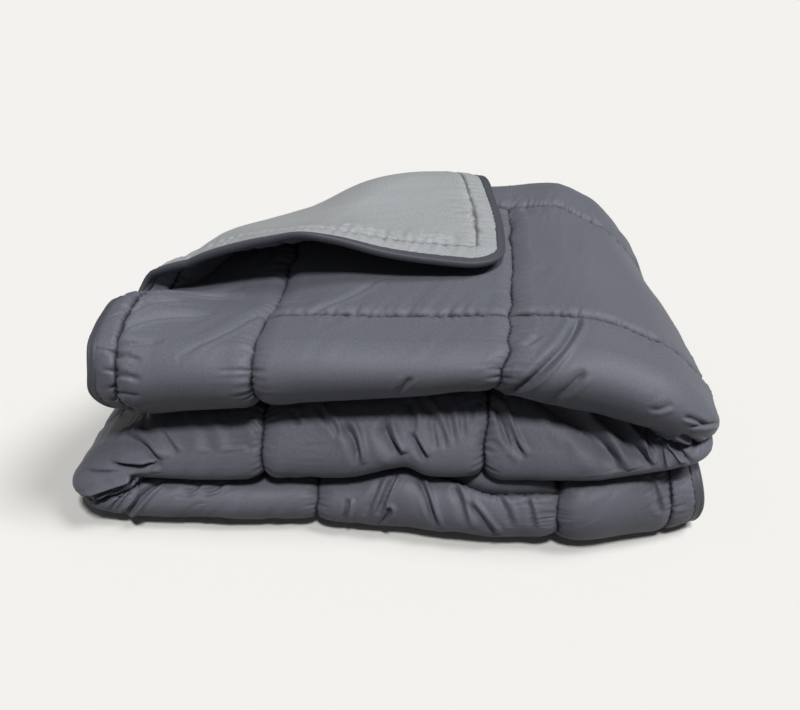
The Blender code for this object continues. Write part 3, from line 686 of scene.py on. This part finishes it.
def creased(u, v, creases):
    """How far the creases press a skin in at a flat point, or raise it beside them."""
    height = np.zeros(u.shape)
    for *line, width, depth in creases:
        width = CREASE_WIDTH * width
        reach = CREASE_SPREAD * width
        near = (u > min(line[0::2]) - reach) & (u < max(line[0::2]) + reach)
        near &= (v > min(line[1::2]) - reach) & (v < max(line[1::2]) + reach)
        if not near.any():
            continue
        at_u = u[near]
        distance, side, along = beside_crease(at_u, v[near], *line)
        # The lip stands on the right as one looks at the pile's front.
        in_middle_section = (at_u > LEFT_TURN_U + LIP_TURNS) & (at_u < RIGHT_TURN_U + LIP_TURNS)
        lip_side = (side > 0) == in_middle_section
        across = distance / np.where(lip_side, NEAR_WIDTH * width, FAR_WIDTH * width)
        trough = -np.exp(-(across ** TROUGH_POWER))
        near_lip = np.where(at_u > TOP_U, TOP_CREASE_LIP, CREASE_LIP)
        lip = np.where(lip_side, near_lip, CREASE_FAR_LIP) * mound((across - LIP_AT) / LIP_WIDTH)
        full = smooth_step(along / CREASE_TAPER) * smooth_step((1 - along) / CREASE_TAPER)
        strength = (CREASE_END + (1 - CREASE_END) * full) * (along > 0) * (along < 1)
        height[near] += CREASE_DEPTH * depth * strength * (trough + lip)
    return height


# ---- The puffed skins
# Heights from the middle surface, of the reverse and of the face.
CROWN = (HALF - 0.0005, HALF + 0.0005)
SEAM_HEIGHT = (0.0060, -0.0030)  # the seams draw the face deep into the filling
HEM_HEIGHT = (0.0030, 0.0020)
SHOULDER = 0.023  # radius of a pillow's rounding, from its seam to its flat
CROSS_SHOULDER = 0.015  # and beside the seams that run along the strip
HEM_SHOULDER = 0.014
RIM_HEIGHT = 0.0032  # of either skin where the binding holds it
HEM_FULLNESS = 0.8  # of the hem band, as a share of a crown
HEM_ROUNDNESS = 0.7  # it rises from the rim as this power of a sine
# The bottom section's strip above its seam swells into the gap under the tuck.
SWELL = 0.010
SWELL_U, SWELL_LENGTH = 0.245, 0.080
SWELL_ROW, SWELL_REACH = 0.500, 0.026
UNDULATION = 0.0016  # of the pillows, up and down
UNDULATION_SCALE = 0.075
UNDULATION_SEED = 21
DEEPEST = -0.0050  # no crease goes through to the other skin


def dip(distance, radius):
    """1 on a seam, falling away to 0 at the pillow's flat, round like the side of a tube."""
    return 1 - np.sqrt(1 - np.clip(1 - np.abs(distance) / radius, 0, 1) ** 2)


def skin_height(u, row, face):
    """Height of the face, or depth of the reverse, from the middle surface, before its gathers."""
    crown = CROWN[face]
    seam_depth = crown - SEAM_HEIGHT[face]
    hem_depth = crown - HEM_HEIGHT[face]
    to_u, to_v = seam_distances(u, row)
    from_edge = edge_distance(u, row)
    quilted = seam_depth * (1 - (1 - dip(to_u, SHOULDER)) * (1 - dip(to_v, CROSS_SHOULDER)))
    height = crown - np.maximum(quilted, hem_depth * dip(from_edge - HEM_SEAM, HEM_SHOULDER))
    swell = mound((u - SWELL_U) / SWELL_LENGTH, (row - SWELL_ROW) / SWELL_REACH)
    height = height + SWELL * swell * (1 - dip(to_v, CROSS_SHOULDER)) * face
    undulation = noise(u, row, UNDULATION_SCALE, UNDULATION_SCALE, UNDULATION_SEED)
    height = height + UNDULATION * undulation * (height / crown)
    height = height + creased(wavered(u, row), slid(u, row), CREASES[face])
    height = np.maximum(height, DEEPEST)
    inside = np.clip((from_edge - BINDING_WIDTH) / (HEM_SEAM - BINDING_WIDTH), 0, 1)
    band = RIM_HEIGHT + (HEM_FULLNESS * crown - RIM_HEIGHT) * np.sin(QUARTER * inside) ** HEM_ROUNDNESS
    return np.where(inside < 1, np.minimum(band, height), height)


# ---- Grids
RIM = BINDING_WIDTH - 0.002  # the skins end a little way inside the binding
BESIDE_A_SEAM = (0.0008, 0.0019, 0.0034)  # extra grid lines, this far from each seam


def spaced(*spans):
    """Grid lines through the spans (from, to, spacing), each of which starts where the last one ended."""
    lines = [np.array([spans[0][0]])]
    for start, end, spacing in spans:
        lines.append(np.linspace(start, end, max(round((end - start) / spacing), 1) + 1)[1:])
    return np.concatenate(lines)


def seamed(stops, spacing, fine=True):
    """Grid lines from stop to stop, closer together beside each one where they are to be fine."""
    lines = [stops[0]]
    for start, end in zip(stops[:-1], stops[1:]):
        near = [d for d in BESIDE_A_SEAM if fine and 2 * BESIDE_A_SEAM[-1] + spacing < end - start]
        first, last = (start + near[-1], end - near[-1]) if near else (start, end)
        lines += [start + d for d in near]
        lines += list(spaced((first, last, spacing))[1:-1])
        lines += [end - d for d in reversed(near)] + [end]
    return np.array(lines)


def flat_grid(us, vs):
    """The flat points of a grid, drawn in round the duvet's corners."""
    u, v = np.meshgrid(us, vs)
    radius = CORNER_RADIUS - RIM
    for cu, su in ((CORNER_RADIUS, -1), (LENGTH - CORNER_RADIUS, 1)):
        for cv, sv in ((CORNER_RADIUS, -1), (WIDTH - CORNER_RADIUS, 1)):
            a = (u - cu) * su / radius
            b = (v - cv) * sv / radius
            corner = (a > 0) & (b > 0)
            size = np.where(corner, np.hypot(a, b), 1)
            shrink = np.where(corner, np.maximum(a, b) / size, 1)
            u = np.where(corner, cu + su * radius * a * shrink, u)
            v = np.where(corner, cv + sv * radius * b * shrink, v)
    return u, v


def grid_piece(name, points, u, v, flip=False, thread_and_seam_shade=None):
    """A mesh object of quads from a grid of points, with the flat duvet's metres as its UV map."""
    rows, columns = points.shape[:2]
    index = np.arange(rows * columns).reshape(rows, columns)
    corners = [index[:-1, :-1], index[:-1, 1:], index[1:, 1:], index[1:, :-1]]
    quads = np.stack(corners, axis=-1).reshape(-1, 4)
    if flip:
        quads = quads[:, ::-1]
    mesh = bpy.data.meshes.new(name)
    mesh.vertices.add(rows * columns)
    mesh.vertices.foreach_set("co", points.reshape(-1).astype(np.float32))
    loops = quads.reshape(-1)
    mesh.loops.add(len(loops))
    mesh.loops.foreach_set("vertex_index", loops.astype(np.int32))
    mesh.polygons.add(len(quads))
    mesh.polygons.foreach_set("loop_start", np.arange(0, len(loops), 4, dtype=np.int32))
    mesh.update(calc_edges=True)
    flat = mesh.uv_layers.new(name="flat")
    uv = np.stack([u.reshape(-1)[loops], v.reshape(-1)[loops]], axis=-1)
    flat.data.foreach_set("uv", uv.reshape(-1).astype(np.float32))
    # The band along the seams that darkens the colour: their thread, and painted shade in their grooves
    if thread_and_seam_shade is not None:
        mark = mesh.attributes.new("thread_and_seam_shade", "FLOAT", "POINT")
        mark.data.foreach_set("value", thread_and_seam_shade.reshape(-1).astype(np.float32))
    mesh.shade_smooth()
    piece = bpy.data.objects.new(name, mesh)
    bpy.context.scene.collection.objects.link(piece)
    return piece


# ---- Cloth with more length than its seams
GATHER = 0.12  # extra length of the cloth along a seam, beside it
CROSS_GATHER = 0.6  # share of it beside the seams that run along the strip
HEM_GATHER = 0.13
GATHER_REACH = 0.014  # how far from the seam it fades
SLACK = 0.024  # extra length everywhere
STEPS = 120
STIFFNESS = 0.9  # share of its error in length that a thread loses at a step
BEND = 0.006  # how strongly the cloth resists bending
HOLD = 0.006  # how strongly the filling holds the cloth to its pillow
FURTHEST_IN, FURTHEST_OUT = -0.0040, 0.0035
OUTWARD_STEP = 0.0005  # between the two heights that give a point's outward direction
SEWN_WITHIN = 0.0004  # a point this near to a seam is sewn down
TAPE_HOLDS = BINDING_WIDTH + 0.0005  # and so is one this near to the duvet's edge


def pull_together(points, rest, axis, start):
    """Moves every second pair of neighbours along an axis towards its rest length."""
    count = (points.shape[axis] - start) // 2
    first = [slice(None)] * 3
    second = [slice(None)] * 3
    first[axis] = slice(start, start + 2 * count, 2)
    second[axis] = slice(start + 1, start + 2 * count, 2)
    between = points[tuple(second)] - points[tuple(first)]
    length = np.sqrt((between ** 2).sum(axis=-1, keepdims=True))
    error = (length - rest[tuple(first[:2])][..., None]) / np.maximum(length, 1e-9)
    move = between * error * STIFFNESS * 0.5
    points[tuple(first)] += move
    points[tuple(second)] -= move


def rippled(field):
    """Sum of a field's four neighbours less four times itself, level beyond its borders."""
    padded = np.pad(field, ((1, 1), (1, 1), (0, 0)), mode="edge")
    return padded[:-2, 1:-1] + padded[2:, 1:-1] + padded[1:-1, :-2] + padded[1:-1, 2:] - 4 * field


def relaxed(u, row, height, face, seed):
    """The skin's points, relaxed as cloth that is sewn down along its seams."""
    side = 1.0 if face else -1.0
    flat_u, flat_v = wavered(u, row), slid(u, row)
    guide = fold(flat_u, flat_v, side * height)
    outward = fold(flat_u, flat_v, side * (height + OUTWARD_STEP)) - guide
    outward /= np.maximum(np.linalg.norm(outward, axis=-1, keepdims=True), 1e-12)
    to_u, to_v = seam_distances(u, row)
    to_end, to_side = hem_distances(u, row)

    beside_u, beside_v, beside_end, beside_side = (
        np.exp(-distance / GATHER_REACH) for distance in (to_u, to_v, to_end, to_side)
    )
    uneven = patches(u, row, seed, *CLOTH_STRENGTH)
    quilted = GATHER if face else 0.0
    extra_v = SLACK + uneven * (quilted * beside_u + HEM_GATHER * beside_end)
    extra_u = SLACK + uneven * (CROSS_GATHER * quilted * beside_v + HEM_GATHER * beside_side)
    rest_u = np.linalg.norm(guide[:, 1:] - guide[:, :-1], axis=-1) * (1 + extra_u[:, 1:])
    rest_v = np.linalg.norm(guide[1:] - guide[:-1], axis=-1) * (1 + extra_v[1:])

    sewn = (np.minimum(to_u, to_v) < SEWN_WITHIN) if face else np.zeros(u.shape, bool)
    sewn |= np.minimum(to_end, to_side) < SEWN_WITHIN
    sewn |= edge_distance(u, row) < TAPE_HOLDS
    sewn[0] = sewn[-1] = True
    sewn[:, 0] = sewn[:, -1] = True

    start_height = gathered(u, row, face, seed)[..., None]
    points = guide + np.where(sewn[..., None], 0, outward * start_height)
    for _ in range(STEPS):
        for start in (0, 1):
            pull_together(points, rest_u, 1, start)
            pull_together(points, rest_v, 0, start)
        moved = points - guide
        moved -= BEND * rippled(rippled(moved))
        out = (moved * outward).sum(axis=-1, keepdims=True)
        moved += (np.clip(out * (1 - HOLD), FURTHEST_IN, FURTHEST_OUT) - out) * outward
        moved[sewn] = 0
        points = guide + moved
    return points


# ---- Materials
SPECULAR = 0.34
SHEEN_ROUGHNESS = 0.45
MOTTLE_SCALE, MOTTLE_DETAIL = 340, 3  # per metre of cloth
MOTTLE_STOPS = ((0.30, 0.90), (0.70, 1.10))  # noise, and share of the colour
WEAVE_SCALE, WEAVE_DETAIL = 900, 2
WEAVE_STRENGTH, WEAVE_DEPTH = 0.25, 0.0003
# Colours of the band along the seams: the seams' thread, and painted shade in their grooves
DARK_THREAD_AND_SEAM_SHADE = (0.012, 0.012, 0.016)
LIGHT_THREAD_AND_SEAM_SHADE = (0.12, 0.125, 0.13)


def set_inputs(node, values):
    """Sets a node's sockets to constant values, by their names."""
    for socket, value in values.items():
        node.inputs[socket].default_value = value


def fabric(name, colour, thread_and_shade_colour, roughness, sheen):
    """Brushed microfibre: fine weave, faint mottling and a soft sheen, with the darker colour of its stitch
    lines, which also paints the shade in the seams' grooves.
    """
    material = bpy.data.materials.new(name)
    material.use_nodes = True
    nodes, links = material.node_tree.nodes, material.node_tree.links
    shader = nodes["Principled BSDF"]
    set_inputs(shader, {"Roughness": roughness, "Specular IOR Level": SPECULAR})
    set_inputs(shader, {"Sheen Weight": sheen, "Sheen Roughness": SHEEN_ROUGHNESS})
    flat = nodes.new("ShaderNodeUVMap")
    flat.uv_map = "flat"

    mottle = nodes.new("ShaderNodeTexNoise")
    set_inputs(mottle, {"Scale": MOTTLE_SCALE, "Detail": MOTTLE_DETAIL})
    links.new(flat.outputs["UV"], mottle.inputs["Vector"])
    ramp = nodes.new("ShaderNodeValToRGB")
    for stop, (position, share) in zip(ramp.color_ramp.elements, MOTTLE_STOPS):
        stop.position = position
        stop.color = (*[share * c for c in colour], 1)
    links.new(mottle.outputs["Fac"], ramp.inputs["Fac"])
    # Along the seams the colour is mixed towards a darker one over a broad band: the seams' thread, and
    # painted shade in their grooves
    thread_and_shade_attribute = nodes.new("ShaderNodeAttribute")
    thread_and_shade_attribute.attribute_name = "thread_and_seam_shade"
    thread_and_shade_mix = nodes.new("ShaderNodeMix")
    thread_and_shade_mix.data_type = "RGBA"
    set_inputs(thread_and_shade_mix, {"B": (*thread_and_shade_colour, 1)})
    links.new(thread_and_shade_attribute.outputs["Fac"], thread_and_shade_mix.inputs["Factor"])
    links.new(ramp.outputs["Color"], thread_and_shade_mix.inputs["A"])
    links.new(thread_and_shade_mix.outputs["Result"], shader.inputs["Base Color"])

    weave = nodes.new("ShaderNodeTexNoise")
    set_inputs(weave, {"Scale": WEAVE_SCALE, "Detail": WEAVE_DETAIL})
    links.new(flat.outputs["UV"], weave.inputs["Vector"])
    bump = nodes.new("ShaderNodeBump")
    set_inputs(bump, {"Strength": WEAVE_STRENGTH, "Distance": WEAVE_DEPTH})
    links.new(weave.outputs["Fac"], bump.inputs["Height"])
    links.new(bump.outputs["Normal"], shader.inputs["Normal"])
    return material


FACE_FABRIC = fabric("face_fabric", (0.140, 0.145, 0.176), DARK_THREAD_AND_SEAM_SHADE, roughness=0.56, sheen=0.08)
REVERSE_FABRIC = fabric("reverse_fabric", (0.375, 0.390, 0.400), LIGHT_THREAD_AND_SEAM_SHADE, roughness=0.60, sheen=0.12)
BINDING_TAPE = fabric("binding_tape", (0.080, 0.083, 0.100), DARK_THREAD_AND_SEAM_SHADE, roughness=0.52, sheen=0.06)


# ---- The skins' pieces
# The seams' dark lines are drawn far broader than a thread: the band paints the shade that falls in each
# seam's groove
THREAD_SHADE_WIDTH = 0.0026
CROSS_SEAM_SHADE = 0.45  # distances from the seams along the strip count this much less, so their band of painted groove shade is broader
THREAD_SHADE_WAVER = 0.0006
THREAD_SHADE_SPACING = 0.012
THREAD_SHADE_SEED = 31
FRONT_SPACING, CORNER_SPACING, TOP_SPACING = 0.0021, 0.0025, 0.0027
INNER_SPACING, BACK_SPACING_U, BACK_SPACING_V = 0.007, 0.009, 0.010
RIM_SPACING, EDGE_SPACING, PLAIN_SPACING = 0.006, 0.005, 0.014
RIM_STRIP = 0.05
BACK_FOLD_REACH = 0.08


def thread_and_seam_shade_mask(u, row, face):
    """1 along a seam's stitch line and the painted shade of its groove, 0 away from it."""
    to_u, to_v = seam_distances(u, row)
    distance = np.minimum(*hem_distances(u, row))
    if face:
        distance = np.minimum(distance, np.minimum(to_u, CROSS_SEAM_SHADE * to_v))
    distance = np.where(edge_distance(u, row) < HEM_SEAM - THREAD_SHADE_WIDTH, 1.0, distance)
    distance = distance - THREAD_SHADE_WAVER * noise(u, row, THREAD_SHADE_SPACING, THREAD_SHADE_SPACING, THREAD_SHADE_SEED)
    return np.clip(1 - distance / THREAD_SHADE_WIDTH, 0, 1)


def skin(name, us, rows, face=True, seed=None):
    """A piece of the face or the reverse on those grid lines, relaxed as cloth if it is given a seed."""
    u, row = flat_grid(us, rows)
    height = skin_height(u, row, face)
    if seed is None:
        points = fold(wavered(u, row), slid(u, row), height if face else -height)
    else:
        points = relaxed(u, row, height, face, seed)
    points[..., 2] = np.maximum(points[..., 2], 0)
    piece = grid_piece(name, points, u, row, flip=not face, thread_and_seam_shade=thread_and_seam_shade_mask(u, row, face))
    piece.data.materials.append(FACE_FABRIC if face else REVERSE_FABRIC)
    return piece


# Lines that the grids keep to: the rim, the binding's edge, the hem's seam and the quilting's seams. The
# hidden seam just past the back fold is left out.
START = [RIM, BINDING_WIDTH, HEM_SEAM]
END_U = [LENGTH - inset for inset in reversed(START)]
END_V = [WIDTH - inset for inset in reversed(START)]
LEFT_COLUMNS = [*START, *SEAMS_U[:5]]
RIGHT_COLUMNS = [*SEAMS_U[4:], *END_U]
TOP_ROWS = [*START, *SEAMS_V[:2]]
FRONT_ROWS = SEAMS_V[1:3]
ROUND_BACK_FOLD = [BACK_FOLD_V - BACK_FOLD_REACH, BACK_FOLD_V + BACK_FOLD_REACH]
BACK_COLUMNS = [*START, *SEAMS_U, *END_U]
BACK_ROWS = [*SEAMS_V[2:4], *ROUND_BACK_FOLD, *SEAMS_V[5:], *END_V]
CORNER_U, CORNER_V = 1.48, 0.53  # the turned-back corner's piece reaches in to here
REVERSE_EDGE_U, REVERSE_EDGE_V = 1.50, 1.85  # the reverse is finer from here to the duvet's edge

front_grid_rows = seamed(FRONT_ROWS, FRONT_SPACING)
front_left = skin("front_cells_left", seamed(LEFT_COLUMNS, FRONT_SPACING), front_grid_rows, seed=3)
front_right = skin("front_cells_right", seamed(RIGHT_COLUMNS, FRONT_SPACING), front_grid_rows, seed=4)
top = skin("top_cells", seamed(RIGHT_COLUMNS, TOP_SPACING), seamed(TOP_ROWS, TOP_SPACING), seed=5)
inner_left = skin(
    "inner_cells", seamed(LEFT_COLUMNS, INNER_SPACING, False), seamed(TOP_ROWS, INNER_SPACING, False)
)
back = skin("back_cells", seamed(BACK_COLUMNS, BACK_SPACING_U), seamed(BACK_ROWS, BACK_SPACING_V))
turned_corner = skin(
    "turned_corner",
    seamed([CORNER_U, *END_U], CORNER_SPACING),
    seamed([*START, CORNER_V], CORNER_SPACING),
    face=False,
    seed=7,
)
reverse = skin(
    "reverse",
    spaced(
        (RIM, RIM_STRIP, RIM_SPACING),
        (RIM_STRIP, REVERSE_EDGE_U, PLAIN_SPACING),
        (REVERSE_EDGE_U, LENGTH - RIM, EDGE_SPACING),
    ),
    spaced((CORNER_V, REVERSE_EDGE_V, PLAIN_SPACING), (REVERSE_EDGE_V, WIDTH - RIM, EDGE_SPACING)),
    face=False,
)
inner_reverse = skin(
    "inner_reverse", spaced((RIM, CORNER_U, PLAIN_SPACING)), spaced((RIM, CORNER_V, PLAIN_SPACING)), False
)


# ---- The binding tape
TAPE_STEP = 0.005  # along the duvet's edge
TAPE_CORNER_STEPS = 13
TAPE_AROUND = 0.003  # of cloth from one line of its section to the next, for its weave
# The tape's section: inward from the duvet's edge, and over the middle surface.
TAPE_SIDE = [(0.0125, 0.0012), (0.0125, 0.0040), (0.0095, 0.0046), (0.0062, 0.0040), (0.0052, 0.0038)]
ROLL_DEPTH, ROLL_HALF_HEIGHT = 0.0030, 0.0044
ROLL_OVER, ROLL_POINTS = 0.3, 9  # the roll at its edge goes this far past a half turn, each end
ROLL = [
    (ROLL_DEPTH - ROLL_DEPTH * math.sin(angle), ROLL_HALF_HEIGHT * math.cos(angle))
    for angle in np.linspace(-ROLL_OVER, math.pi + ROLL_OVER, ROLL_POINTS)
]
TAPE_SECTION = TAPE_SIDE + ROLL + [(inset, -height) for inset, height in reversed(TAPE_SIDE)]


def rim_line():
    """Flat points round the duvet's rounded outline, and their outward directions."""
    turn = np.linspace(0, QUARTER, TAPE_CORNER_STEPS + 1)[:-1]
    centre = np.array([LENGTH - CORNER_RADIUS, CORNER_RADIUS])
    outward, forward = np.array([1.0, 0.0]), np.array([0.0, 1.0])
    points, directions = [], []
    for side in 2 * (WIDTH - 2 * CORNER_RADIUS, LENGTH - 2 * CORNER_RADIUS):
        straight = np.linspace(0, side, round(side / TAPE_STEP), endpoint=False)[:, None]
        points.append(centre + CORNER_RADIUS * outward + straight * forward)
        directions.append(np.broadcast_to(outward, points[-1].shape))
        centre = centre + side * forward
        directions.append(np.cos(turn)[:, None] * outward + np.sin(turn)[:, None] * forward)
        points.append(centre + CORNER_RADIUS * directions[-1])
        outward, forward = forward, -outward
    around = [*np.concatenate(points).T, *np.concatenate(directions).T]
    # The ring closes inside the pile.
    return [np.roll(column, len(column) // 2) for column in around]


def tape():
    """The closed ring of tape round the duvet's edge."""
    u, v, out_u, out_v = rim_line()
    rows = [
        fold(u - out_u * inset, v - out_v * inset, np.full(len(u), height))
        for inset, height in TAPE_SECTION
    ]
    points = np.stack([*rows, rows[0]])
    points = np.concatenate([points, points[:, :1]], axis=1)
    points[..., 2] = np.maximum(points[..., 2], 0)
    around, along = np.meshgrid(*(np.arange(size) for size in points.shape[:2]), indexing="ij")
    piece = grid_piece("binding_tape", points, along * TAPE_STEP, around * TAPE_AROUND)
    piece.data.materials.append(BINDING_TAPE)
    return piece


edging = tape()

# ---- Declarations
light = (reverse, inner_reverse, turned_corner)
for piece in (front_left, front_right, top, inner_left, back, *light):
    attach(piece, "root")
    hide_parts("quilted_body")
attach(edging, "root")
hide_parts("binding")

# ---- Floor and surroundings
FLOOR_REACH = 30
FLOOR_COLOUR = (0.865, 0.855, 0.826, 1)
FLOOR_ROUGHNESS = 0.9
WORLD_COLOUR, WORLD_STRENGTH = (1.0, 1.0, 1.0, 1), 0.07

floor_mesh = bpy.data.meshes.new("floor")
floor_corners = [(x * FLOOR_REACH, y * FLOOR_REACH, 0) for x, y in ((-1, -1), (1, -1), (1, 1), (-1, 1))]
floor_mesh.from_pydata(floor_corners, [], [(0, 1, 2, 3)])
floor = bpy.data.objects.new("floor", floor_mesh)
bpy.context.scene.collection.objects.link(floor)
floor_material = bpy.data.materials.new("floor")
floor_material.use_nodes = True
floor_shader = floor_material.node_tree.nodes["Principled BSDF"]
set_inputs(floor_shader, {"Base Color": FLOOR_COLOUR, "Roughness": FLOOR_ROUGHNESS, "Specular IOR Level": 0})
floor.data.materials.append(floor_material)
floor.visible_diffuse = False  # the floor stays pale without lighting the duvet from below

world = bpy.data.worlds.new("world")
bpy.context.scene.world = world
world.use_nodes = True
set_inputs(world.node_tree.nodes["Background"], {"Color": WORLD_COLOUR, "Strength": WORLD_STRENGTH})
bpy.context.scene.view_settings.view_transform = "Standard"

# ---- Light and camera
SUNS = (
    # name, azimuth, elevation, strength, spread
    ("key", 84, 56, 1.60, 22),
    ("front", 16, 61, 1.95, 10),
)
AZIMUTH, ELEVATION = 5.75, 29
DISTANCE = 1.35
TARGET = Vector((-0.0075, -0.0316, 0.08))
LENS, SENSOR_WIDTH = 45, 36


def direction(azimuth, elevation):
    """Towards a place given in degrees from the front towards the right, and above the floor."""
    azimuth, elevation = math.radians(azimuth), math.radians(elevation)
    return Vector((
        math.sin(azimuth) * math.cos(elevation),
        -math.cos(azimuth) * math.cos(elevation),
        math.sin(elevation),
    ))


def aimed(name, data, away):
    """A lamp or camera that looks back along that direction."""
    aimed_object = bpy.data.objects.new(name, data)
    aimed_object.rotation_euler = away.to_track_quat("Z", "Y").to_euler()
    bpy.context.scene.collection.objects.link(aimed_object)
    return aimed_object


for name, azimuth, elevation, strength, spread in SUNS:
    sun = bpy.data.lights.new(name, "SUN")
    sun.energy = strength
    sun.angle = math.radians(spread)
    aimed(name, sun, direction(azimuth, elevation))

camera_data = bpy.data.cameras.new("camera")
camera_data.lens = LENS
camera_data.sensor_width = SENSOR_WIDTH
to_camera = direction(AZIMUTH, ELEVATION)
camera = aimed("camera", camera_data, to_camera)
camera.location = TARGET + DISTANCE * to_camera
bpy.context.scene.camera = camera
